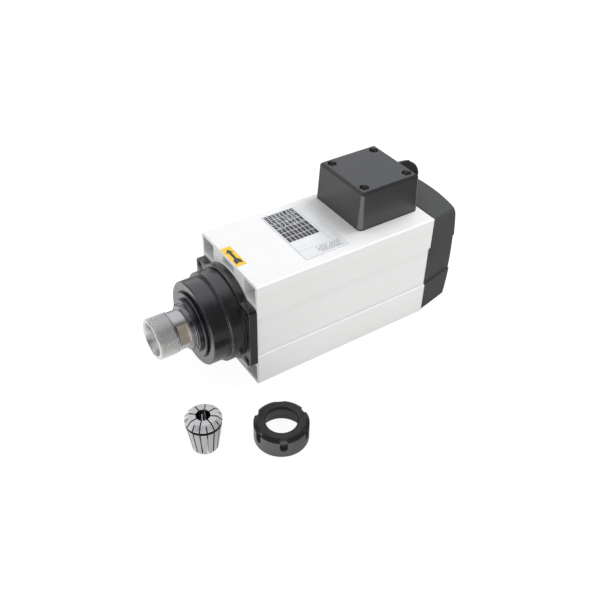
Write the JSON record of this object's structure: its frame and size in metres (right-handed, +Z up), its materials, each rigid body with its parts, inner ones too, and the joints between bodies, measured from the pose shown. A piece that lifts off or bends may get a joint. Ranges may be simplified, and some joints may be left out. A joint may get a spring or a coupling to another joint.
{
  "type": "motor spindle",
  "caption": "Air-cooled square motor spindle with a threaded collet nose, air channels, junction box, fan cover, and its collet and nut taken off beside it.",
  "frame": {"origin": "middle of the four tapped base holes, on the base plane", "axes": "+X across the housing, +Y along the shaft from the nose to the fan, +Z up from the base"},
  "size_m": [0.1905, 0.3357, 0.158],
  "materials": {
    "white_profile": "satin white coating on an extruded aluminium profile",
    "black_anodised": "satin black anodised, finely turned",
    "black_screws": "black oxide socket screws",
    "bearing_steel": "ground bearing steel",
    "plain_aluminium": "machined aluminium",
    "zinc_screws": "zinc plated screws",
    "spring_steel": "blued spring steel",
    "laminations": "stacked electrical steel sheets",
    "copper_winding": "varnished copper wire",
    "black_moulding": "fine grained black moulding",
    "fan_plastic": "black moulded fan",
    "gasket_rubber": "black rubber",
    "terminal_plastic": "moulded terminal block",
    "terminal_brass": "brass screws",
    "gland_plastic": "black polyamide gland",
    "plate_metal": "satin metal plate with a bare dark grid",
    "label_yellow": "yellow film label with a black arrow",
    "turned_steel": "finely turned and ground steel",
    "dark_steel": "burnished dark steel",
    "black_oxide_steel": "black oxide steel",
    "collet_steel": "polished spring steel"
  },
  "bodies": {
    "housing": {"housing_extrusion": "white_profile", "front_bearing_housing": "black_anodised", "front_housing_bolts": "black_screws", "front_bearing_outer_rings": "bearing_steel", "front_bearing_outer_spacer": "bearing_steel", "bearing_retainer": "plain_aluminium", "bearing_retainer_screws": "black_screws", "stator_core": "laminations", "stator_windings": "copper_winding", "rear_bearing_plate": "plain_aluminium", "rear_plate_bolts": "zinc_screws", "rear_bearing_outer_ring": "bearing_steel", "preload_washer": "spring_steel", "fan_cover": "black_moulding", "fan_cover_screws": "black_screws", "junction_box_gasket": "gasket_rubber", "junction_box_base": "black_moulding", "junction_box_base_screws": "zinc_screws", "junction_box_cover": "black_moulding", "junction_box_screws": "black_screws", "terminal_block": "terminal_plastic", "terminal_studs": "terminal_brass", "cable_gland_body": "gland_plastic", "gland_locknut": "gland_plastic", "gland_seal": "gasket_rubber", "gland_dome_nut": "gland_plastic", "nameplate": "plate_metal", "rotation_label": "label_yellow"},
    "spindle": {"spindle_shaft": "turned_steel", "labyrinth_ring": "black_anodised", "ring_nut": "dark_steel", "front_bearing_inner_rings": "bearing_steel", "front_bearing_inner_spacer": "bearing_steel", "bearing_lock_nut": "turned_steel", "rotor_core": "laminations", "rotor_end_rings": "plain_aluminium", "rear_bearing_inner_ring": "bearing_steel", "fan_impeller": "fan_plastic", "fan_key": "spring_steel", "fan_retaining_ring": "spring_steel"},
    "bearing_balls": {"front_ball_belts": "bearing_steel", "rear_ball_belt": "bearing_steel"},
    "loose_nut": {"collet_nut": "black_oxide_steel"},
    "loose_collet": {"collet": "collet_steel"}
  },
  "joints": [
    {"name": "spindle_spin", "type": "hinge", "parent": "housing", "child": "spindle", "pos_m": [0, 0, 0.059], "axis": [0, 1, 0], "continuous": true},
    {"name": "bearing_balls_spin", "type": "hinge", "parent": "housing", "child": "bearing_balls", "pos_m": [0, 0, 0.059], "axis": [0, 1, 0], "continuous": true},
    {"name": "nut_lift", "type": "slide", "parent": "housing", "child": "loose_nut", "axis": [0, 0, 1], "range_m": [0, 0.06]},
    {"name": "collet_lift", "type": "slide", "parent": "housing", "child": "loose_collet", "axis": [0, 0, 1], "range_m": [0, 0.06]}
  ],
  "couplings": [
    {"joint": "bearing_balls_spin", "follows": "spindle_spin", "ratio": 0.42}
  ]
}
